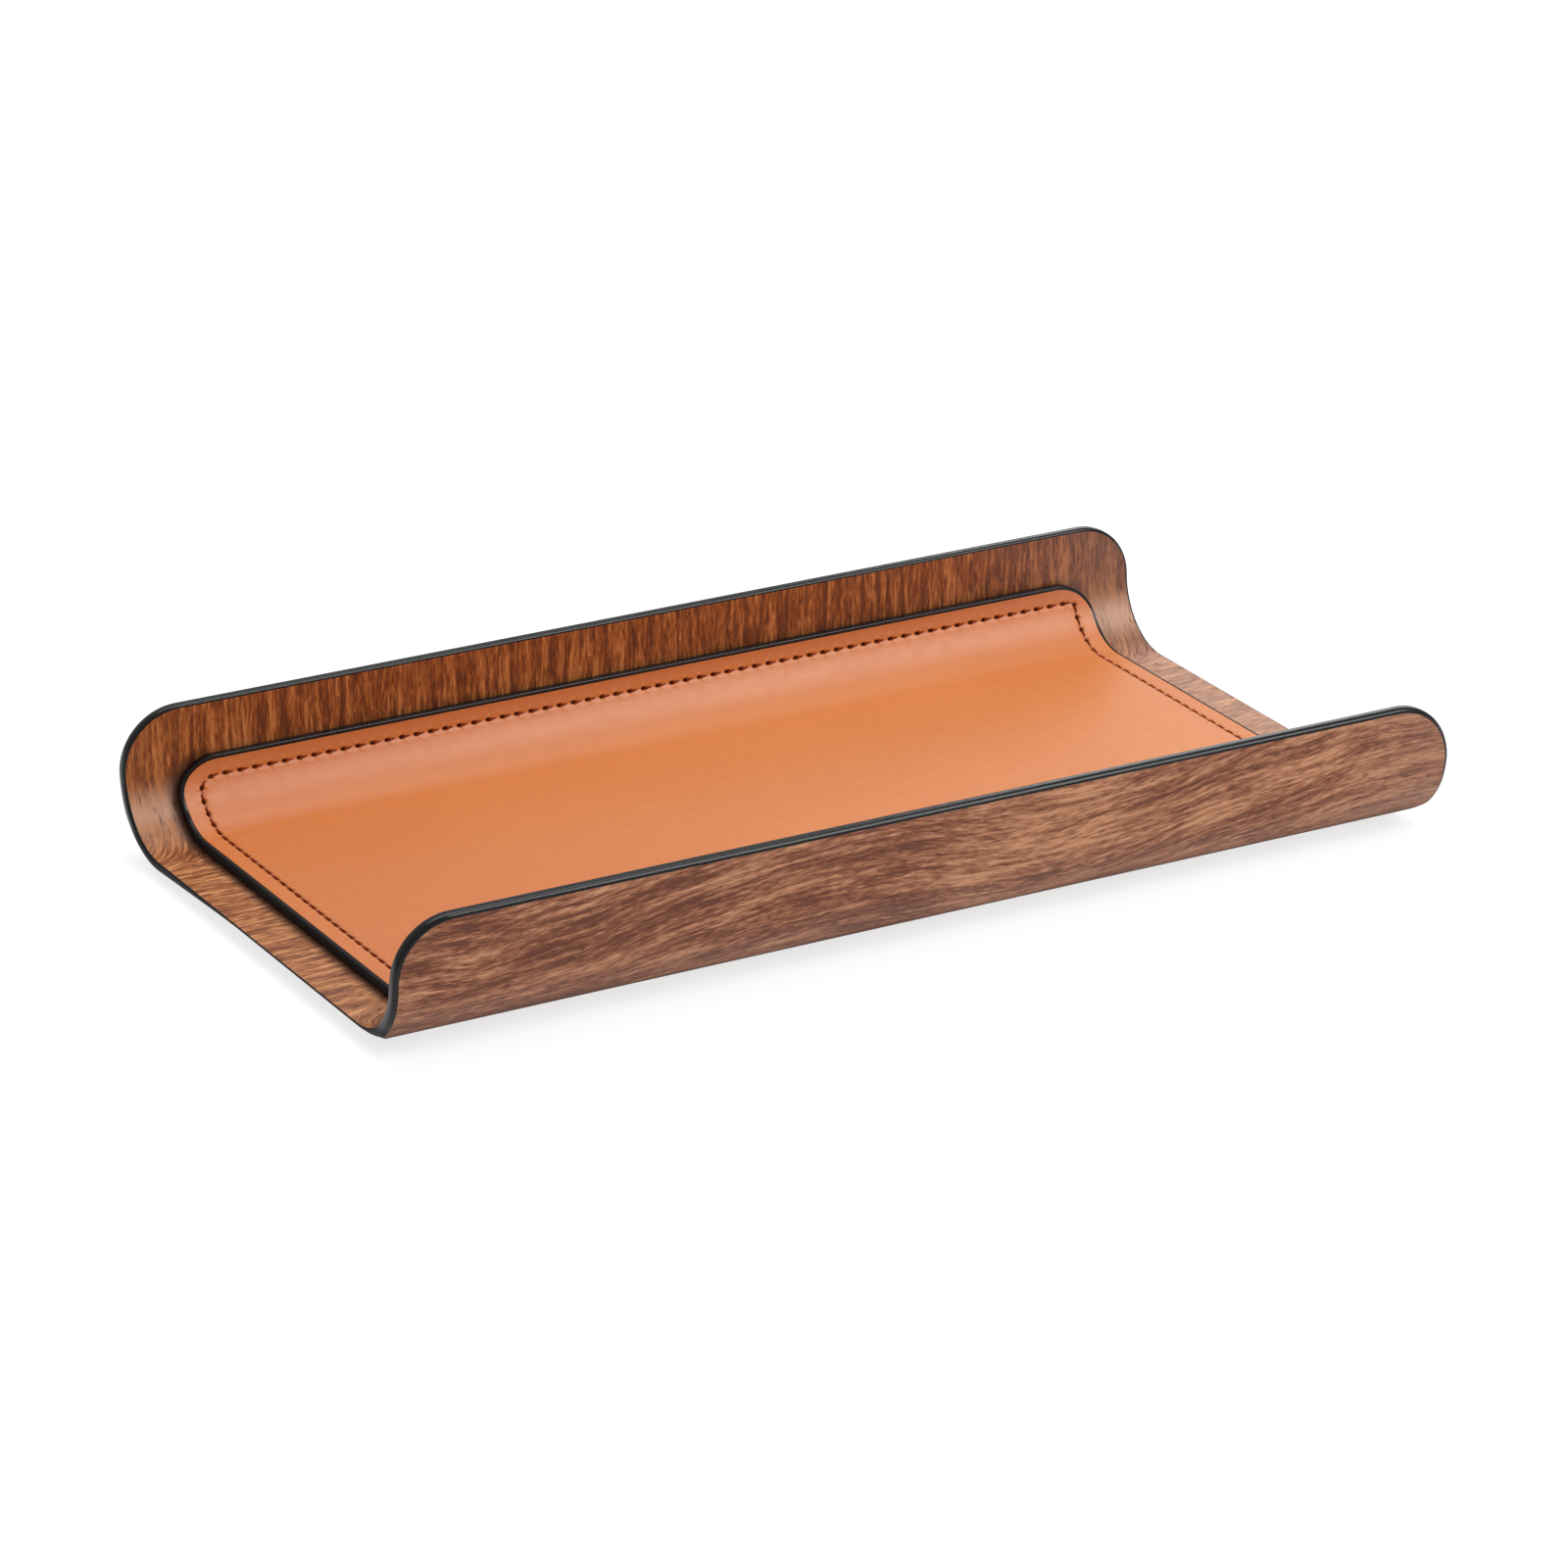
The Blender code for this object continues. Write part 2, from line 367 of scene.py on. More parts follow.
class Finish:
    """One material, built node by node around its Principled shader."""

    def __init__(self, name):
        self.material = bpy.data.materials.new(name)
        self.material.use_nodes = True
        self.tree = self.material.node_tree
        self.shader = self.tree.nodes["Principled BSDF"]

    def node(self, kind, settings=None, feeds=None, output=0):
        """Adds a node, with its settings first and then what its sockets are fed with."""
        made = self.tree.nodes.new(kind)
        for name, setting in (settings or {}).items():
            if name == "stops":
                self.set_stops(made.color_ramp, setting)
            else:
                setattr(made, name, setting)
        for name, fed in (feeds or {}).items():
            self.feed(made.inputs[name], fed)
        return Value(self, made.outputs[output])

    def feed(self, socket, fed):
        if isinstance(fed, Value):
            self.tree.links.new(fed.socket, socket)
        else:
            socket.default_value = fed

    def set_stops(self, ramp, stops):
        while len(ramp.elements) < len(stops):
            ramp.elements.new(0.5)
        for element, (position, colour) in zip(ramp.elements, stops):
            element.position = position
            element.color = colour

    def set(self, **feeds):
        """Feeds the shader's own sockets, named with _ for each space."""
        for name, fed in feeds.items():
            self.feed(self.shader.inputs[name.replace("_", " ")], fed)

    def maths(self, operation, first, second=0.0):
        return self.node("ShaderNodeMath", {"operation": operation}, {0: first, 1: second})

    def distance(self, first, second):
        """How far a point is whose two coordinates these are."""
        return self.maths("SQRT", first * first + second * second)

    def point(self, x, y, z):
        return self.node("ShaderNodeCombineXYZ", {}, {"X": x, "Y": y, "Z": z})

    def axis(self, vector, number):
        """One coordinate of a vector, 0 to 2."""
        return self.node("ShaderNodeSeparateXYZ", {}, {0: vector}, output=number)

    def place(self):
        """The point on the object, in metres."""
        return self.node("ShaderNodeTexCoord", output=3)

    def two_axes(self, map_name):
        """The two directions of a named UV map."""
        mapped = self.node("ShaderNodeUVMap", {"uv_map": map_name})
        return [self.axis(mapped, number) for number in (0, 1)]

    def in_millimetres(self, map_name):
        """The two directions of a UV map that was laid in metres."""
        return [value * to_millimetres for value in self.two_axes(map_name)]

    def noise(self, vector, scale=1.0, detail=2.0, roughness=0.5):
        feeds = {"Vector": vector, "Scale": scale, "Detail": detail, "Roughness": roughness}
        return self.node("ShaderNodeTexNoise", {"noise_dimensions": "3D"}, feeds)

    def between(self, value, low, high):
        """0 up to low, 1 from high on, and a smooth rise between them."""
        feeds = {"Value": value, "From Min": low, "From Max": high}
        return self.node("ShaderNodeMapRange", {"interpolation_type": "SMOOTHSTEP"}, feeds)

    def mix(self, factor, first, second):
        """A colour between two."""
        return self.node("ShaderNodeMix", {"data_type": "RGBA"}, {0: factor, 6: first, 7: second}, output=2)

    def tint(self, colour, mask, share, tone):
        """The colour with a share of a tone where the mask is 1."""
        return self.mix(mask * share, colour, tone)

    def bump(self, height, distance):
        """Raises the surface's shading by height times distance, in metres."""
        return self.node("ShaderNodeBump", {}, {"Height": height, "Distance": distance, "Strength": 1.0})


def linear(red, green, blue):
    """A colour given as 0 to 255, as the linear light that shaders take."""
    return (*(((value / 255 + 0.055) / 1.055) ** 2.4 for value in (red, green, blue)), 1)


def dress(piece, finish, replaced):
    """Gives a finished piece its material, its body and the nodes that it stands for."""
    piece.data.materials.clear()
    piece.data.materials.append(finish.material)
    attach(piece, "root")
    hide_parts(*replaced)
    print(f"{piece.name}: {len(piece.data.polygons)} faces")


# %% [markdown]
# ## Floor and light
#
# A wide pale floor, a white surrounding and three soft lamps make a plain studio. One
# hangs where the bends of the back side mirror it into the camera, as a soft light band.
# The largest lights the pad evenly from above. A low one is mirrored by the right end of
# the tray's floor. The studio floor glows, which keeps the shadow faint.

# %% Set up the studio
floor_size = 12.0
floor_colour = (0.32, 0.32, 0.32, 1)
floor_glow = 0.75
surround_strength = 0.52
lamp_distance = 1.8
white = (1, 1, 1, 1)

bpy.ops.object.select_all(action="DESELECT")
bpy.ops.mesh.primitive_plane_add(size=floor_size)
floor = bpy.context.object
floor.name = "studio_floor"
floor_paint = Finish("studio_floor")
floor_paint.set(Base_Color=floor_colour, Roughness=0.9, Specular_IOR_Level=0.1)
floor_paint.set(Emission_Color=white, Emission_Strength=floor_glow)
floor.data.materials.append(floor_paint.material)

world = bpy.data.worlds.new("studio")
world.use_nodes = True
surround = world.node_tree.nodes["Background"].inputs
surround["Color"].default_value = white
surround["Strength"].default_value = surround_strength
bpy.context.scene.world = world
bpy.context.scene.view_settings.view_transform = "Standard"


def hang_lamp(name, azimuth, elevation, width, height, watts):
    """A lamp that hangs in this direction from the tray and shines on it."""
    lamp = bpy.data.objects.new(name, bpy.data.lights.new(name, "AREA"))
    bpy.context.scene.collection.objects.link(lamp)
    lamp.data.shape = "RECTANGLE"
    lamp.data.size = width
    lamp.data.size_y = height
    lamp.data.energy = watts
    way = direction(math.radians(azimuth), math.radians(elevation))
    lamp.location = way * lamp_distance
    lamp.rotation_euler = way.to_track_quat("Z", "Y").to_euler()
    print(f"{name}: {watts} W, {elevation} degrees up")


hang_lamp("front_right_lamp", azimuth=42, elevation=44, width=0.8, height=1.2, watts=20)
hang_lamp("top_lamp", azimuth=160, elevation=72, width=1.2, height=1.2, watts=16)
hang_lamp("low_right_lamp", azimuth=135, elevation=21, width=0.7, height=0.5, watts=2.2)

# %% [markdown]
# ## Wood grain
#
# Grain is noise that is stretched a long way in one direction. Several layers of it make
# this wood: broad bands, streaks, fine fibres, thin dark veins, and short pores inside
# the dark bands. Two slow sways bend them all. They read a UV map that runs across the
# grain first and along it second, in metres, so the grain can turn where the real skin's
# grain turns, and no stretch shows in the bends.

# %% Lay down the grain
grain_stops = (0.28, 0.42, 0.56, 0.72)


class Grain:
    """The layers of one wood's grain. Sizes are width and length in millimetres."""

    def __init__(self, wood, seed, bands, streaks, wander, waver, drift):
        across, along = wood.in_millimetres("grain")
        sway = wood.noise(wood.point(across / 25, along / 60, seed), detail=1)
        curl = wood.noise(wood.point(across / 6, along / 20, seed + 3), detail=1)
        swayed = across + (sway - 0.5) * wander + (curl - 0.5) * waver

        def layer(width, length, shift, detail, roughness=0.5):
            point = wood.point(swayed / width, along / length, seed + shift)
            return wood.noise(point, detail=detail, roughness=roughness)

        band = layer(*bands, shift=7, detail=2)
        self.streak = layer(*streaks, shift=11, detail=3, roughness=0.6)
        self.fibre = layer(0.5, 3.2, shift=19, detail=2)
        pores = layer(0.42, 3.4, shift=17, detail=1)
        self.pore = wood.between(pores, 0.58, 0.68) * wood.between(band, 0.66, 0.44)
        lines = layer(2.4, 34, shift=23, detail=1)
        thin = 1 - wood.between(wood.maths("ABSOLUTE", lines - 0.5), 0.008, 0.040)
        broken = layer(5, 9, shift=29, detail=1)
        self.vein = thin * wood.between(broken, 0.42, 0.60)
        mixed = 0.7 * band + 1.1 * self.streak + 0.65 * self.fibre - 0.725
        # Where drift is not 0, the tone grows lighter along the tray, a painted light towards its right end.
        self.tone = mixed - 0.13 * self.vein + along * drift

    def colour(self, wood, tones):
        """The grain in four tones, from dark to light."""
        stops = list(zip(grain_stops, tones))
        return wood.node("ShaderNodeValToRGB", {"stops": stops}, {"Fac": self.tone})


def wood_surface(wood, grain, colour, darkest, gloss, dull=0.0):
    """Satin wood: the colour with its pores, and a surface that follows the grain."""
    wood.set(
        Base_Color=wood.tint(colour, grain.pore, share=0.75, tone=darkest),
        Roughness=0.36 + 0.12 * grain.streak + 0.12 * grain.pore + dull,
        Normal=wood.bump(grain.streak * 0.5 + grain.fibre * 0.2 - grain.pore - grain.vein * 0.5, 0.00006),
        Specular_IOR_Level=gloss,
    )


# %% [markdown]
# The outer skin is a greyish brown. Low in the bends and under the floor it gets painted
# shade, darker in two steps, and its gloss is duller there. Both skins get a painted sheen
# towards the tray's right end, which stands for the reflection of a bright surround.

# %% The outer wood finish
outer_right_sheen = (0.110, 0.150)
shade_and_dull_heights = (0.003, 0.013)
deepest_shade_heights = (0.0043, 0.0068)


def outer_finish():
    """The walnut on the outside, with painted shade low down and painted light towards its right end."""
    wood = Finish("outer_walnut")
    # The outer grain's drift paints it lighter towards the right end, as painted light.
    grain = Grain(wood, seed=2.0, bands=(4.6, 60), streaks=(1.15, 17), wander=7, waver=0.9, drift=0.0004)
    tones = (linear(92, 49, 32), linear(122, 72, 48), linear(150, 99, 71), linear(180, 128, 96))
    place = wood.place()
    length_place, height = wood.axis(place, 0), wood.axis(place, 2)
    right_sheen = wood.between(length_place, *outer_right_sheen)
    # Painted shade low down, in two steps towards the desk; the first mask also dulls the gloss.
    shade_and_dull = 1 - wood.between(height, *shade_and_dull_heights)
    deepest_shade = 1 - wood.between(height, *deepest_shade_heights)
    # A painted sheen towards the right end, which stands for a reflection.
    colour = wood.tint(grain.colour(wood, tones), right_sheen, share=0.4, tone=linear(132, 96, 80))
    colour = wood.tint(colour, shade_and_dull, share=0.5, tone=linear(80, 42, 26))
    colour = wood.tint(colour, deepest_shade, share=0.75, tone=linear(50, 26, 16))
    wood_surface(wood, grain, colour, darkest=tones[0], gloss=0.22, dull=shade_and_dull * 0.4)
    return wood


outer_wood = outer_finish()

# %% [markdown]
# The inner skin is redder. Its walls are painted darker and its floor paler, as painted shade
# and light, with a painted highlight in the bends. At its right end it gets the painted sheen
# too, at its left end a little more yellow, and beside the pad a painted shadow of the pad.
# A second UV map holds the flat place of each point, so the distance from the pad's round
# outline is a short formula.

# %% The inner wood finish
inner_right_sheen = (0.090, 0.150)
yellow_end = (-0.150, -0.128)
bend_highlight_from = (0.0046, 0.0115)
bend_highlight_to = (0.013, 0.020)
lit_floor_millimetres = (-6, 14)
pad_shadow_millimetres = (0.2, 3.4)
pad_shadow_end_millimetres = 3
faint_pad_shadow = (-0.1, 0.05)


def pad_shadow(wood, flat_x, flat_y, length_place):
    """Where a painted shadow of the pad darkens the wood at the pad's ends. It is fainter towards the right.
    """
    radius = to_millimetres * pad_corner_radius
    straight_end = to_millimetres * (pad_half_length - pad_corner_radius)
    straight_side = to_millimetres * (pad_half_run - pad_corner_radius)
    past_end = wood.maths("MAXIMUM", flat_x - straight_end, 0.0)
    past_side = wood.maths("MAXIMUM", flat_y - straight_side, 0.0)
    from_pad = wood.distance(past_end, past_side) - radius
    at_end = wood.between(flat_x, straight_end, to_millimetres * pad_half_length - pad_shadow_end_millimetres)
    strength = 1 - 0.8 * wood.between(length_place, *faint_pad_shadow)
    return (1 - wood.between(from_pad, *pad_shadow_millimetres)) * at_end * strength


def inner_finish():
    """The walnut on the inside, with painted light on its floor and bends, a painted sheen at its right end
    and a painted shadow by the pad.
    """
    wood = Finish("inner_walnut")
    grain = Grain(wood, seed=31.0, bands=(3.0, 44), streaks=(1.15, 14), wander=4, waver=1.6, drift=0.0)
    wall_tones = (linear(86, 38, 11), linear(112, 55, 18), linear(144, 80, 34), linear(176, 110, 58))
    floor_tones = (linear(94, 40, 13), linear(130, 71, 32), linear(172, 111, 65), linear(206, 147, 98))
    place = wood.place()
    length_place, height = wood.axis(place, 0), wood.axis(place, 2)
    flat_x, flat_y = (wood.maths("ABSOLUTE", value) for value in wood.in_millimetres("flat"))
    floor_start, floor_stop = (to_millimetres * half_floor + past for past in lit_floor_millimetres)
    low = 1 - wood.between(flat_y, floor_start, floor_stop)
    bend_highlight = wood.between(height, *bend_highlight_from) * (1 - wood.between(height, *bend_highlight_to))
    lit_parts = wood.maths("MAXIMUM", low, bend_highlight)
    right_sheen = wood.between(length_place, *inner_right_sheen)
    at_left = 1 - wood.between(length_place, *yellow_end)
    # Painted shade and light: darker tones on the walls, paler ones on the floor, and a painted highlight in
    # the bends.
    colour = wood.mix(low, grain.colour(wood, wall_tones), grain.colour(wood, floor_tones))
    colour = wood.tint(colour, bend_highlight, share=0.75, tone=linear(180, 130, 97))
    # A painted sheen towards the right end, paler over the painted light of the floor and bends.
    right_sheen_tone = wood.mix(lit_parts, linear(112, 82, 68), linear(180, 142, 120))
    colour = wood.tint(colour, right_sheen, share=0.4, tone=right_sheen_tone)
    colour = wood.tint(colour, at_left, share=0.2, tone=linear(166, 104, 60))
    # A painted shadow of the pad on the wood beside its ends, fainter towards the right.
    painted_pad_shadow = pad_shadow(wood, flat_x, flat_y, length_place)
    colour = wood.tint(colour, painted_pad_shadow, share=0.8, tone=linear(46, 20, 8))
    wood_surface(wood, grain, colour, darkest=wall_tones[0], gloss=0.42)
    return wood


inner_wood = inner_finish()

# %% [markdown]
# ## The wood-grain skins
#
# On the outside the grain runs along the tray, in long waves. On the inside it climbs
# the walls and turns, low in the bends, until it runs along the floor. So the inside map
# is laid along curved lines: the angle of the grain is a quarter turn on the walls and
# falls to nothing on the floor. Near each end the lines are measured from the middle of
# the strip that the pad leaves open, which keeps them from spreading.

# %% Lay the grain
inner_lap = 0.0008
outer_lap = 0.00125
open_strip = 0.0135
strip_middle = half_length - open_strip / 2
grain_slope = 0.05
wave_slope = 0.11
wave_length = 0.170
turn_start = half_floor - 0.009
turn_run = 0.021
turn_steps = 8
turn_places = [turn_start + (half_floor - turn_start) * step / turn_steps for step in range(turn_steps)]
skin_spacing = 0.0075


def outer_grain(flat, middle):
    """Across and along the grain on the outside, which runs along the tray in long waves."""
    waves = 2 * math.pi / wave_length
    rise = grain_slope * flat.x + wave_slope / waves * math.sin(waves * flat.x + math.pi)
    return flat.y + rise, flat.x


def inner_grain(flat, middle):
    """Across and along the grain on the inside, which turns through the bends."""
    side = math.copysign(1, middle.x)
    run = abs(flat.y)
    turn = min(max((run - turn_start) / turn_run, 0), 1) * quarter_turn
    on_wall = max(run - turn_start - turn_run, 0)
    across_run = min(run, turn_start) + turn_run * math.sin(turn) / quarter_turn
    along_run = turn_run * (1 - math.cos(turn)) / quarter_turn + on_wall
    from_strip = flat.x - side * strip_middle
    front = math.copysign(1, flat.y)
    across = front * across_run - from_strip * math.sin(turn) - max(side, 0) * 2 * strip_middle
    along = from_strip * math.cos(turn) + front * along_run
    return across, along


def lay_map(piece, name, mapping):
    """Writes a UV map, where each corner's place follows from its point and its face's middle."""
    uv_map = piece.data.uv_layers.new(name=name)
    for face in piece.data.polygons:
        middle = face.center
        for corner in face.loop_indices:
            flat = piece.data.vertices[piece.data.loops[corner].vertex_index].co
            uv_map.data[corner].uv = mapping(flat, middle)


def wood_layer(name, top, thickness, inset, grain):
    """One layer of the sheet: cut out flat, given its grain, thickened and bent."""
    layer = rounded_sheet(name, sheet_outline, top, inset)
    straight = half_length - corner_radius
    cut_across(layer, 1, both_sides(fold_places + fade_places + turn_places))
    cut_across(layer, 0, spaced(straight, skin_spacing) + both_sides([straight]))
    thicken(layer, thickness)
    lay_map(layer, "grain", grain)
    lay_map(layer, "flat", lambda flat, middle: flat.xy)
    reshape(layer, relieved)
    bend_over_form(layer)
    smooth(layer)
    return layer


inner_skin = wood_layer("inner_skin", 0.0, skin_thickness, inner_lap, inner_grain)
dress(inner_skin, inner_wood, ["inner_wood_skin"])
outer_top = skin_thickness - sheet_thickness
outer_skin = wood_layer("outer_skin", outer_top, skin_thickness, outer_lap, outer_grain)
dress(outer_skin, outer_wood, ["outer_wood_skin"])

# %% [markdown]
# ## The black edge of the sheet
#
# The rim of the sheet is sealed with several coats of black paint, which dry to a smooth
# round bead. It starts as a sheet of the full size. Bevelling the rim's upper and lower
# edges rounds it. The large faces are then taken out and their two outlines bridged, so
# that only a ring is left. The bead laps a little less far over the inner skin.

# %% Model an edge bead
bead_steps = 7
bead_corner_steps = 24


def round_rim(piece, height, rounding, steps):
    """In edit mode, rounds the edges that lie at this height."""

    def level(mesh):
        at_height = [abs(vertex.co.z - height) < weld_distance for vertex in mesh.vertices]
        return [edge for edge in mesh.edges if all(at_height[end] for end in edge.vertices)]

    select_only(piece, "EDGE", level)
    bpy.ops.mesh.bevel(offset=rounding, segments=steps, profile=0.5, clamp_overlap=False)


def select_large_faces(piece):
    """In edit mode, selects just the two faces that cover the whole sheet."""

    def large(mesh):
        largest = max(face.area for face in mesh.polygons)
        return [face for face in mesh.polygons if face.area > largest / 2]

    select_only(piece, "FACE", large)


def edge_bead(name, outline, top, thickness, upper_round, lower_round, width):
    """A ring of paint round the rim of a sheet, rounded above and below."""
    bead = rounded_sheet(name, outline, top, corner_steps=bead_corner_steps)
    thicken(bead, thickness)
    edit(bead, "DESELECT")
    round_rim(bead, face_height + top, upper_round, bead_steps)
    round_rim(bead, face_height + (top - thickness), lower_round, bead_steps)
    select_large_faces(bead)
    if width > lower_round:
        bpy.ops.mesh.inset(thickness=width - lower_round)
        select_large_faces(bead)
    bpy.ops.mesh.delete(type="ONLY_FACE")
    select_open_edges()
    bpy.ops.mesh.bridge_edge_loops()
    bpy.ops.object.mode_set(mode="OBJECT")
    cut_across(bead, 1, both_sides(fold_places + fade_places))
    edit(bead)
    bpy.ops.mesh.remove_doubles(threshold=weld_distance)
    bpy.ops.mesh.normals_make_consistent(inside=False)
    bpy.ops.object.mode_set(mode="OBJECT")
    return bead


laps = {"upper_round": inner_lap, "lower_round": outer_lap, "width": outer_lap}
sheet_bead = edge_bead("sheet_edge", sheet_outline, top=0.0, thickness=sheet_thickness, **laps)
reshape(sheet_bead, relieved)
bend_over_form(sheet_bead)
smooth(sheet_bead, angle=40)

# %% [markdown]
# Edge paint is nearly black and glossy, but never even: brushing and buffing leave
# shallow ripples, and dust leaves some dull patches. Low down, where the tray rubs on
# the desk, the gloss is gone.

# %% A finish for black edge paint
dull_heights = (0.006, 0.011)


def paint_finish():
    """Glossy black paint with shallow ripples and dull patches."""
    paint = Finish("black_edge_paint")
    place = paint.place()
    ripple = paint.noise(place, scale=300, detail=2)
    patches = paint.noise(place, scale=55, detail=3)
    wear = paint.between(paint.noise(place, scale=900, detail=1), 0.62, 0.80)
    dull = 1 - paint.between(paint.axis(place, 2), *dull_heights)
    paint.set(
        Base_Color=paint.mix(patches * 0.5 + wear * 0.2, (0.002, 0.002, 0.003, 1), (0.010, 0.009, 0.009, 1)),
        Roughness=0.12 + 0.14 * patches + 0.1 * wear + 0.6 * dull,
        Normal=paint.bump(ripple, 0.00006),
        Specular_IOR_Level=0.28,
    )
    return paint


black_paint = paint_finish()
dress(sheet_bead, black_paint, ["shell_edge"])

# %% [markdown]
# ## The leather pad
#
# The pad is a stiffened panel of smooth leather, about 2.5 mm thick, glued on over the
# floor and both bends. It is one closed solid here. The fine band near its seam needs
# far more points than its middle, and insetting the flat face again and again gives
# just that: rings that follow the outline. Its outline is first divided closely, so that
# a ring has a point about every third of a millimetre.

# %% Sizes of the pad
seam_low, seam_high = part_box("seam_thread")
cover_top = 0.0028
cover_thickness = 0.0010
paint_width = 0.0010
pad_base = 0.0003
left_corner = 0.0052
right_corner = 0.0013
thread_diameter = 0.0006
stitch_pitch = 0.00418

seam_half_length = (seam_high.x - seam_low.x) / 2 - thread_diameter / 2
seam_inset = pad_half_length - seam_half_length
seam_half_run = pad_half_run - seam_inset
print(f"seam {to_millimetres * seam_inset:.2f} mm inside the pad's edge")

# %% [markdown]
# A point near the seam is described by how far along the seam it is and how far outside
# it, starting at the middle of the left side. The seam turns its two left corners in a
# wider curve than its two right ones. A quarter of it is a straight piece, a part of a
# circle and another straight piece. Both functions below use that: one finds a point's
# place on the seam, the other goes back to the flat pad.

# %% Measure along the seam
def quarter_length(corner):
    """The length of a quarter of the seam, with this corner radius."""
    return seam_half_run + seam_half_length - 2 * corner + corner * quarter_turn


left_quarter = quarter_length(left_corner)
right_quarter = quarter_length(right_corner)
seam_length = 2 * (left_quarter + right_quarter)
stitch_count = round(seam_length / stitch_pitch)
stitch_length = seam_length / stitch_count
print(f"seam {seam_length:.4f} m long, {stitch_count} stitches of {to_millimetres * stitch_length:.2f} mm")


def seam_place(flat):
    """How far along the seam a flat point lies, and how far outside the seam."""
    left = flat.x < 0
    corner = left_corner if left else right_corner
    past_length = abs(flat.x) - seam_half_length + corner
    past_run = abs(flat.y) - seam_half_run + corner
    if past_length > 0 and past_run > 0:
        outside = math.hypot(past_length, past_run) - corner
        within = seam_half_run - corner + corner * math.atan2(past_run, past_length)
    elif past_run > past_length:
        outside = past_run - corner
        within = quarter_length(corner) - abs(flat.x)
    else:
        outside = past_length - corner
        within = abs(flat.y)
    along = within if left else left_quarter + right_quarter - within
    if flat.y < 0:
        along = seam_length - along
    return along % seam_length, outside


def on_seam(along, outside):
    """The flat place of a point on the seam, or beside it."""
    along = along % seam_length
    half = min(along, seam_length - along)
    left = half < left_quarter
    corner = left_corner if left else right_corner
    within = half if left else left_quarter + right_quarter - half
    past_straight = within - seam_half_run + corner
    turn = min(max(past_straight / corner, 0), quarter_turn)
    reach = corner + outside
    x = seam_half_length - corner + reach * math.cos(turn) - max(past_straight - corner * quarter_turn, 0)
    y = min(within, seam_half_run - corner) + reach * math.sin(turn)
    return (-x if left else x), (y if along < seam_length / 2 else -y)


# %% [markdown]
# ### The leather's swell
#
# Inside its seam the leather is held down only by its own stretch, so it swells a
# little. Blender's cloth simulation gives that form: a coarse sheet is pinned at and
# beyond the seam, gets air pressure from below and no gravity, and settles in twenty
# steps. How far it may rise is capped. Its result is used as a guide for the fine pad.

# %% Let a coarse sheet swell
swell_height = 0.0006
guide_spacing = 0.0045
guide_frames = 20


def swollen_guide():
    """A coarse sheet of leather that has swelled inside the seam, capped in height."""
    guide = rounded_sheet("swell_guide", pad_outline, cover_top)
    for axis, half_size in ((0, seam_half_length), (1, seam_half_run)):
        cut_across(guide, axis, spaced(half_size, guide_spacing) + both_sides([half_size]))
    held = guide.vertex_groups.new(name="held")
    still = [vertex.index for vertex in guide.data.vertices if seam_place(vertex.co)[1] > -guide_spacing / 3]
    held.add(still, 1.0, "REPLACE")
    cloth = guide.modifiers.new("swell", "CLOTH")
    leather = cloth.settings
    leather.quality = 5
    leather.tension_stiffness = 15
    leather.compression_stiffness = 15
    leather.bending_stiffness = 0.5
    leather.vertex_group_mass = held.name
    leather.use_pressure = True
    leather.uniform_pressure_force = 4
    leather.effector_weights.gravity = 0
    cloth.collision_settings.use_collision = False
    for step in range(1, guide_frames + 1):
        bpy.context.scene.frame_set(step)
    apply_modifier(guide, cloth)
    bpy.context.scene.frame_set(1)
    rest_height = face_height + cover_top
    rises = [vertex.co.z - rest_height for vertex in guide.data.vertices]
    print(f"simulated swell: {to_millimetres * min(rises):.2f} to {to_millimetres * max(rises):.2f} mm")
    for vertex, rise in zip(guide.data.vertices, rises):
        vertex.co.z = rest_height + swell_height * math.tanh(max(rise, 0) / swell_height)
    return guide


guide = swollen_guide()

# %% [markdown]
# ### The cover
#
# The cover's flat face is divided along its outline and inset ring by ring. The guide
# then lifts it by a Shrinkwrap modifier that projects straight up. After that come the
# marks of sewing: a shallow groove, an oval needle hole at each stitch, and the low
# lips of leather that the thread pushes up beside the holes.

# %% Model the leather cover
cover_corner_steps = 48
outline_spacing = 0.00035
rim_rings = (0.00008, 0.00014, 0.00023)
fine_ring = 0.0003
coarse_ring = 0.0007
fine_band = (0.0026, 0.0064)
field_spacing = 0.005
hole_half_length = 0.00070
hole_half_width = 0.00052
hole_depth = 0.0009
groove_width = 0.0009
groove_depth = 0.00018
lip_height = 0.00016
# Each lip's place past the hole and outside the seam, its width and its share of the height.
lips = ((-0.0004, 0.0009, 0.0006, 1.0), (0.0008, -0.0009, 0.0007, 0.8))
last_hole = 0.0037
first_hole = (left_quarter + seam_half_length - last_hole) % stitch_length


def divide_straight_edges(piece, spacing):
    """Divides the outline's straight runs about as closely as this spacing."""

    def straight(mesh):
        ends = [[mesh.vertices[end].co for end in edge.vertices] for edge in mesh.edges]
        lengths = [(first - second).length for first, second in ends]
        return [edge for edge, length in zip(mesh.edges, lengths) if length > pad_corner_radius]

    edit(piece, "DESELECT")
    select_only(piece, "EDGE", straight)
    cuts = round(math.sqrt(2 * pad_half_length / spacing)) - 1
    bpy.ops.mesh.subdivide(number_cuts=cuts)
    bpy.ops.mesh.subdivide(number_cuts=cuts)
    bpy.ops.object.mode_set(mode="OBJECT")


def ring_steps():
    """The widths of the rings, from the rim inwards."""
    steps = list(rim_rings)
    while sum(steps) < fine_band[1]:
        steps.append(fine_ring if sum(steps) > fine_band[0] else coarse_ring)
    return steps


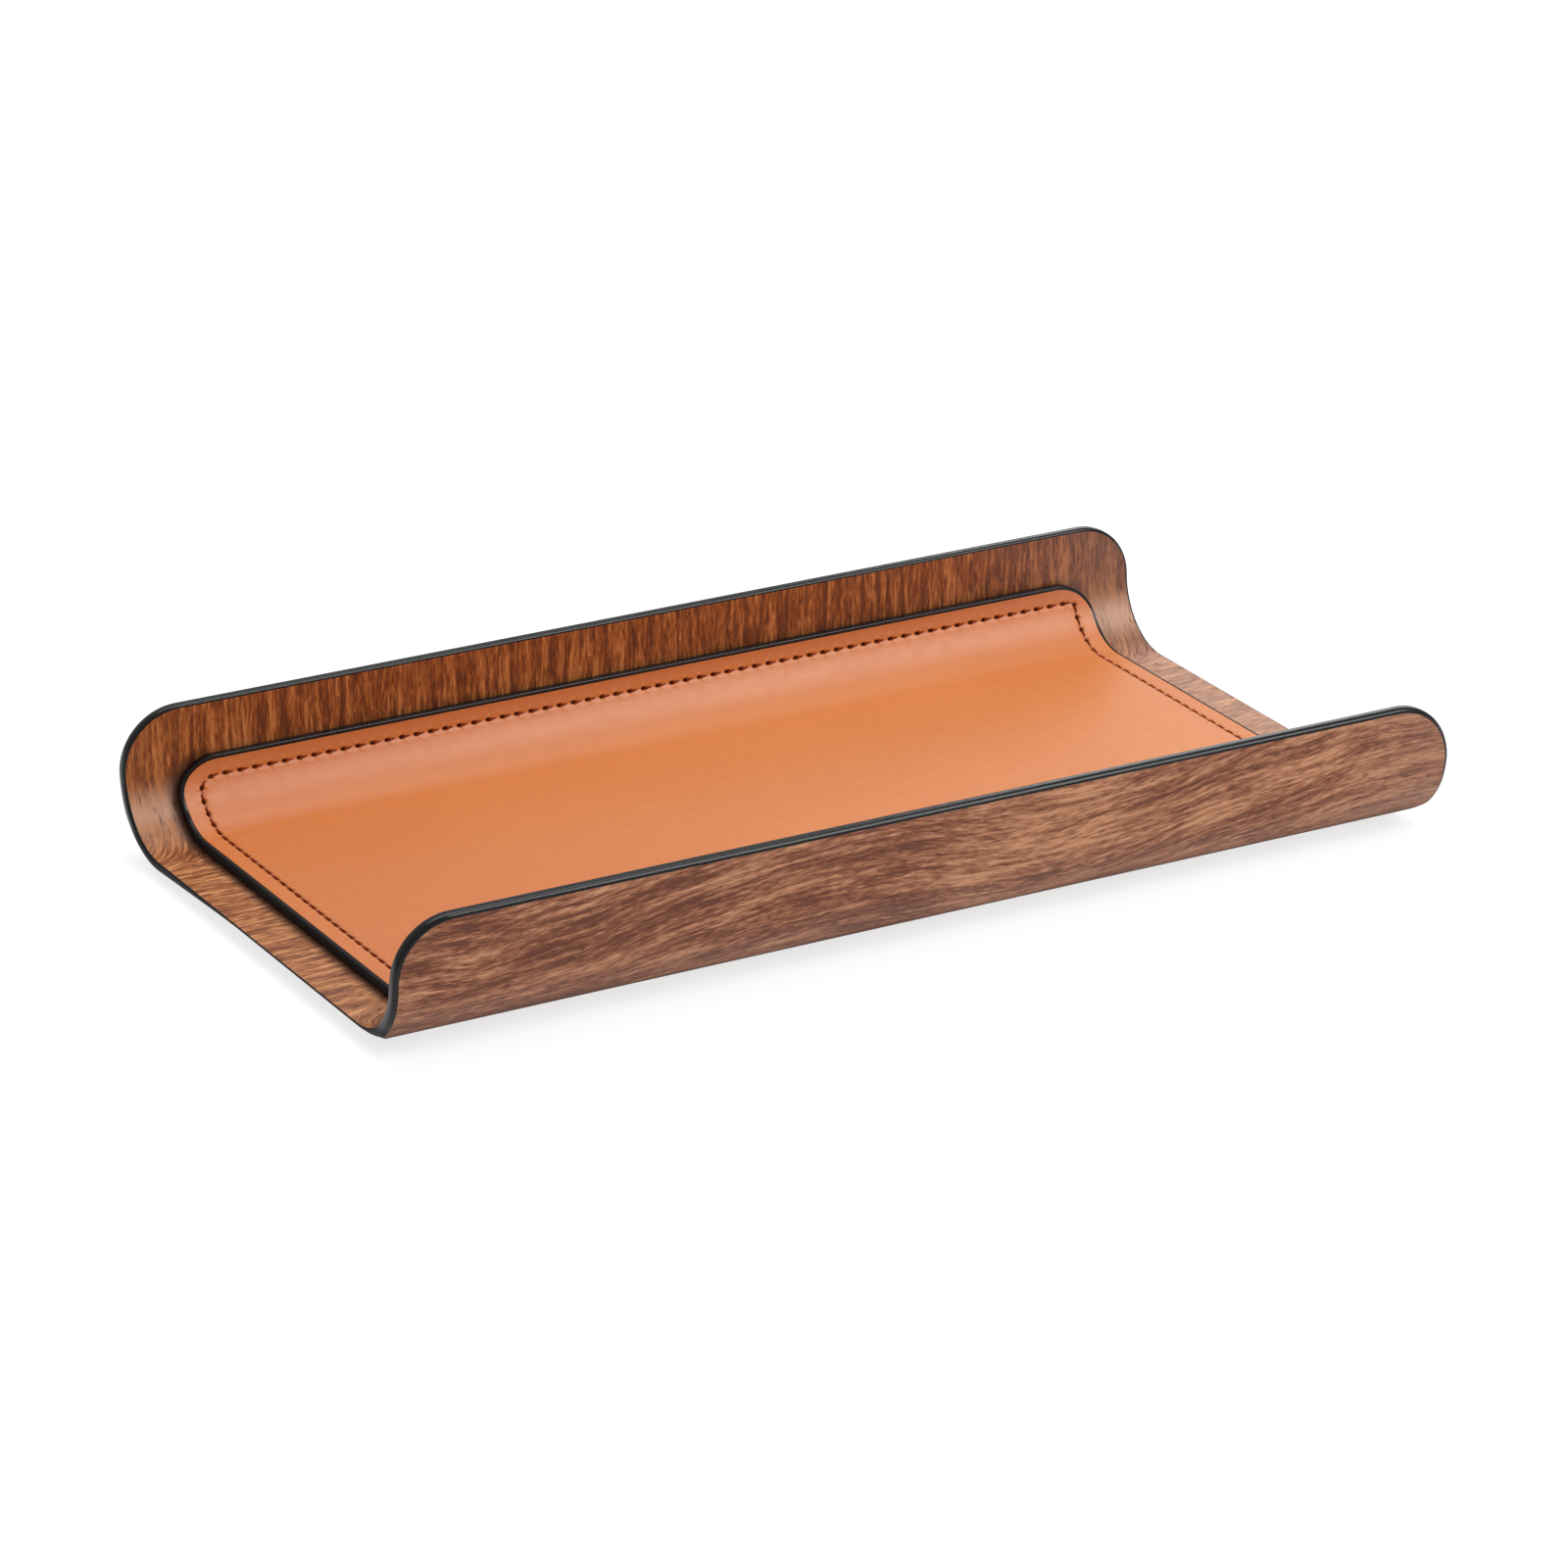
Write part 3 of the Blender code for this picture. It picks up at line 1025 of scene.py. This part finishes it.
def on_top(flat):
    """Whether a point belongs to the cover's top, and not to its underside."""
    return flat.z > face_height + cover_top - cover_thickness / 2


def sewn(flat):
    """Where a point of the cover's top lies once the pad is sewn."""
    if not on_top(flat):
        return flat
    along, outside = seam_place(flat)
    stitch = (along - first_hole) / stitch_length
    past_hole = (stitch - round(stitch)) * stitch_length
    hole = math.hypot(past_hole / hole_half_length, outside / hole_half_width)
    press = groove_depth * math.exp(-((outside / groove_width) ** 2))
    pit = hole_depth * math.exp(-(hole**4))
    raised = sum(
        share * math.exp(-((past_hole - past) ** 2 + (outside - beside) ** 2) / width**2)
        for past, beside, width, share in lips
    )
    return flat + Vector((0, 0, lip_height * raised - press - pit))


def leather_cover():
    """The pad's cover as one closed flat solid, with its swell and its sewing marks."""
    cover = rounded_sheet("leather_cover", pad_outline, cover_top, paint_width, cover_corner_steps)
    divide_straight_edges(cover, outline_spacing)
    edit(cover)
    bpy.ops.mesh.select_mode(type="FACE")
    for step in ring_steps():
        bpy.ops.mesh.inset(thickness=step)
    wide = cover.vertex_groups.new(name="wide")
    bpy.ops.object.vertex_group_assign()
    select_open_edges()
    bpy.ops.mesh.extrude_edges_move(TRANSFORM_OT_translate={"value": (0, 0, -cover_thickness)})
    bpy.ops.mesh.edge_face_add()
    bpy.ops.object.vertex_group_assign()
    cut_across(cover, 1, both_sides(fold_places) + spaced(half_floor, field_spacing), wide)
    cut_across(cover, 0, spaced(seam_half_length, field_spacing), wide)
    top = cover.vertex_groups.new(name="top")
    upper = [vertex.index for vertex in cover.data.vertices if on_top(vertex.co)]
    top.add(upper, 1.0, "REPLACE")
    lift = {"target": guide, "wrap_method": "PROJECT", "use_project_z": True, "vertex_group": top.name}
    modify(cover, "SHRINKWRAP", **lift)
    reshape(cover, sewn)
    return cover


cover = leather_cover()
bpy.data.objects.remove(guide)
heights = [to_millimetres * (vertex.co.z - face_height) for vertex in cover.data.vertices]
print(f"cover: {len(cover.data.polygons)} faces, {min(heights):.2f} to {max(heights):.2f} mm high")

# %% [markdown]
# The cover carries a UV map that holds each point's place beside the seam, counted in
# stitches along it and in millimetres across it. With it the finish can darken the
# needle holes and the line of thread.

# %% Map the cover and bend it


def beside_seam(flat, middle):
    """Stitches along the seam and millimetres outside it, on the face's own lap of the seam."""
    centre = seam_place(middle)[0]
    along, outside = seam_place(flat)
    along = centre + (along - centre + seam_length / 2) % seam_length - seam_length / 2
    return (along - first_hole) / stitch_length, outside * to_millimetres


lay_map(cover, "seam", beside_seam)
bend_over_form(cover)
smooth(cover, angle=50)

# %% [markdown]
# Smooth leather is dyed through and lightly pressed. Its grain is a fine pebble and its
# colour drifts a little over the hide. The needle holes are darker, partly their own colour
# and partly painted shade; beside the thread lies a painted shadow, and the rim high up the
# wall gets painted shade. The gloss is soft.

# %% A leather finish
# Distances from the thread and from its holes are in millimetres.
hole_edge_shares = (0.75, 1.25)
thread_shadow_width = (0.15, 0.55)
thread_shadow_slant = 0.08
tail_start = (-0.9, -0.3)
tail_stop = (1.3, 1.9)
end_margins = (0.003, 0.001)
wall_shade_outside = (0.3, 1.6)
wall_shade_heights = (0.014, 0.024)
deep_left = (-0.14, 0.02)


def sewing_marks(leather, stitches, outside, length_place):
    """Masks for the needle holes, and for the painted shadow along the thread."""
    past = (leather.maths("FRACT", stitches + 0.5) - 0.5) * (stitch_length * to_millimetres)
    long_part = past / (hole_half_length * to_millimetres)
    wide_part = outside / (hole_half_width * to_millimetres)
    hole = 1 - leather.between(leather.distance(long_part, wide_part), *hole_edge_shares)
    from_thread = leather.maths("ABSOLUTE", outside - past * thread_shadow_slant)
    tail = leather.between(past, *tail_start) * (1 - leather.between(past, *tail_stop))
    end_start, end_stop = (seam_half_length - margin for margin in end_margins)
    at_end = leather.between(leather.maths("ABSOLUTE", length_place), end_start, end_stop)
    tail = leather.maths("MAXIMUM", tail, at_end)
    return hole, (1 - leather.between(from_thread, *thread_shadow_width)) * tail * 0.8


def leather_finish():
    """Smooth tan leather with a fine pebble, colour drift, dark needle holes that are partly painted shade,
    and painted shade along the thread and high up the wall.
    """
    leather = Finish("tan_leather")
    place = leather.place()
    length_place, height = leather.axis(place, 0), leather.axis(place, 2)
    stitches, outside = leather.two_axes("seam")
    hole, thread_shadow = sewing_marks(leather, stitches, outside, length_place)
    # Painted shade on the rim outside the seam, high up the wall.
    wall_shade = leather.between(outside, *wall_shade_outside) * leather.between(height, *wall_shade_heights)
    at_left = 1 - leather.between(length_place, *deep_left)
    drift = leather.noise(place, scale=14, detail=3)
    mottle = leather.noise(place, scale=260, detail=4, roughness=0.65)
    pebble = leather.node("ShaderNodeTexVoronoi", {"feature": "SMOOTH_F1"}, {"Vector": place, "Scale": 1500})
    pores = leather.between(leather.noise(place, scale=1900, detail=1), 0.60, 0.75)
    dyed = leather.mix(drift, linear(192, 105, 40), linear(204, 121, 55))
    dyed = leather.tint(dyed, at_left, share=0.5, tone=linear(187, 96, 26))
    dyed = leather.tint(dyed, leather.between(mottle, 0.35, 0.8), share=0.2, tone=linear(176, 92, 38))
    dyed = leather.tint(dyed, pores, share=0.2, tone=linear(145, 70, 28))
    dyed = leather.mix(wall_shade, dyed, linear(182, 102, 50))
    # A painted shadow of the thread along the seam.
    marked = leather.mix(thread_shadow, dyed, linear(124, 44, 8))
    # Dark needle holes: partly the leather's own colour and partly painted shade in the pits.
    marked = leather.mix(hole, marked, linear(46, 6, 0))
    leather.set(
        Base_Color=marked,
        Roughness=0.41 + 0.14 * mottle + 0.5 * hole + 0.3 * thread_shadow,
        Normal=leather.bump(pebble * 0.6 + mottle * 0.4, 0.00005),
        Specular_IOR_Level=0.75,
    )
    return leather


dress(cover, leather_finish(), ["pad_cover"])

# %% [markdown]
# ### The pad's edge
#
# The pad's cut edge is painted black like the sheet's, in a bead that is nearly square
# and stays just under the leather's top.

# %% Model the pad's edge bead
paint_round = 0.0004
paint_drop = 0.0001
paint_top = cover_top - paint_drop
rounds = {"upper_round": paint_round, "lower_round": paint_round, "width": paint_width}
pad_bead = edge_bead("pad_edge_bead", pad_outline, top=paint_top, thickness=paint_top - pad_base, **rounds)
bend_over_form(pad_bead)
smooth(pad_bead, angle=40)
dress(pad_bead, black_paint, ["pad_edge"])

# %% [markdown]
# ### The stitches
#
# Each stitch comes up at a needle hole, lies slightly slanted on the leather and thins
# out as it dives towards the next hole. One is modelled from a short cylinder. An Array
# modifier repeats it in a straight row, and the row is then laid along the seam.

# %% Model one stitch and lay the row
thread_sides = 8
thread_reach = 0.64
thread_length = thread_reach * stitch_length
thread_parts = 7
thread_taper = 0.45
thread_slant = 0.16
thread_rise = 0.00012
thread_dive = 0.0005
arch_stretch = 1.1
climb_share = 0.14
dive_share = 0.25


def slack_stitch(point):
    """Tapers, slants and arches the straight piece of thread."""
    share = point.x / thread_length
    taper = 1 - thread_taper * share**2
    arch = thread_rise * math.sin(math.pi * min(share * arch_stretch, 1))
    arch -= thread_dive * (1 - min(share / climb_share, 1)) ** 2
    arch -= thread_dive * max((share - 1 + dive_share) / dive_share, 0) ** 2
    slant = thread_slant * (point.x - thread_length / 2)
    return Vector((point.x, point.y * taper + slant, point.z * taper + arch))


def along_seam(straight):
    """Lays a point of the straight row along the seam."""
    x, y = on_seam(straight.x + first_hole, straight.y)
    return Vector((x, y, straight.z + face_height + cover_top - groove_depth))


bpy.ops.object.select_all(action="DESELECT")
bpy.ops.mesh.primitive_cylinder_add(
    vertices=thread_sides,
    radius=thread_diameter / 2,
    depth=thread_length,
    location=(thread_length / 2, 0, 0),
    rotation=(0, quarter_turn, 0),
)
stitches = bpy.context.object
stitches.name = "seam_stitches"
bpy.ops.object.transform_apply(location=True, rotation=True, scale=True)
cut_across(stitches, 0, [thread_length * part / thread_parts for part in range(1, thread_parts)])
reshape(stitches, slack_stitch)
row = {"count": stitch_count, "constant_offset_displace": (stitch_length, 0, 0)}
modify(stitches, "ARRAY", use_relative_offset=False, use_constant_offset=True, **row)
reshape(stitches, along_seam)
bend_over_form(stitches)
smooth(stitches, angle=60)

# %% [markdown]
# The thread is waxed and dark red-brown. Its fibres show as fine ridges.

# %% A thread finish


def thread_finish():
    """Waxed dark thread with fine fibres."""
    thread = Finish("brown_thread")
    place = thread.place()
    fibres = thread.noise(place, scale=5200, detail=2)
    clouds = thread.noise(place, scale=700, detail=1)
    thread.set(
        Base_Color=thread.mix(fibres * 0.6 + clouds * 0.4, linear(66, 12, 2), linear(150, 56, 18)),
        Roughness=0.68 + 0.2 * fibres,
        Normal=thread.bump(fibres, 0.00008),
        Specular_IOR_Level=0.06,
    )
    return thread


dress(stitches, thread_finish(), ["seam_thread"])

# %% [markdown]
# ## The liner under the floor
#
# A thin black cloth keeps the tray from sliding. It is one flat sheet with round corners
# and a softly rounded rim, glued under the floor.

# %% Model the liner
liner_low, liner_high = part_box("base_liner")
liner_radius = 0.005
liner_corner_steps = 12
liner_round = 0.0003
liner_round_steps = 3
liner_outline = (liner_high.x, liner_high.y, liner_radius)
liner_top = liner_high.z - face_height
liner = rounded_sheet("base_liner_cloth", liner_outline, liner_top, corner_steps=liner_corner_steps)
thicken(liner, liner_high.z - liner_low.z)
edit(liner, "DESELECT")
round_rim(liner, liner_high.z, liner_round, liner_round_steps)
round_rim(liner, liner_low.z, liner_round, liner_round_steps)
bpy.ops.object.mode_set(mode="OBJECT")
smooth(liner, angle=40)


def liner_finish():
    """Matted black cloth."""
    cloth = Finish("black_liner_cloth")
    place = cloth.place()
    felt = cloth.noise(place, scale=1400, detail=4, roughness=0.7)
    matted = cloth.noise(place, scale=160, detail=2)
    cloth.set(
        Base_Color=cloth.mix(felt + matted * 0.8 - 0.4, linear(8, 8, 8), linear(68, 64, 60)),
        Roughness=0.85 + 0.1 * matted,
        Normal=cloth.bump(felt + matted * 0.5, 0.0002),
        Sheen_Weight=0.3,
    )
    return cloth


dress(liner, liner_finish(), ["base_liner"])

# %% [markdown]
# ## The hidden layers
#
# The board between the skins is cut and bent like them, so that its ends slope back with
# theirs. The pad's stiffener and the adhesive stay as the construction model has them.
# Each gets a finish of its own, because a hairline of it can show between its neighbours.

# %% Finish the hidden layers
fit_gap = 0.0003
core_thickness = sheet_thickness - 2 * skin_thickness - 2 * fit_gap
core_top = -skin_thickness - fit_gap


def fibre_finish(name, dark, light, scale, roughness):
    """Pressed fibres or film: speckled in two tones."""
    fibre = Finish(name)
    place = fibre.place()
    speckle = fibre.noise(place, scale, detail=4, roughness=0.7)
    cloud = fibre.noise(place, scale / 20, detail=2)
    fibre.set(
        Base_Color=fibre.mix(speckle * 0.7 + cloud * 0.3, dark, light),
        Roughness=roughness - 0.1 * cloud,
        Normal=fibre.bump(speckle, 0.0001),
    )
    return fibre


board_core = wood_layer("board_core", core_top, core_thickness, outer_lap + fit_gap, outer_grain)
board = fibre_finish("board", linear(120, 88, 60), linear(176, 142, 106), scale=2400, roughness=0.85)
dress(board_core, board, ["shell_core"])

stiffener = fibre_finish("fibre_board", linear(70, 54, 44), linear(112, 92, 76), scale=2000, roughness=0.85)
film = fibre_finish("adhesive_film", linear(206, 200, 178), linear(232, 228, 212), scale=500, roughness=0.5)
for node, finish in {"pad_board": stiffener, "pad_adhesive": film}.items():
    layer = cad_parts[node]
    layer.data.materials.clear()
    layer.data.materials.append(finish.material)
    print(node, "has its finish")
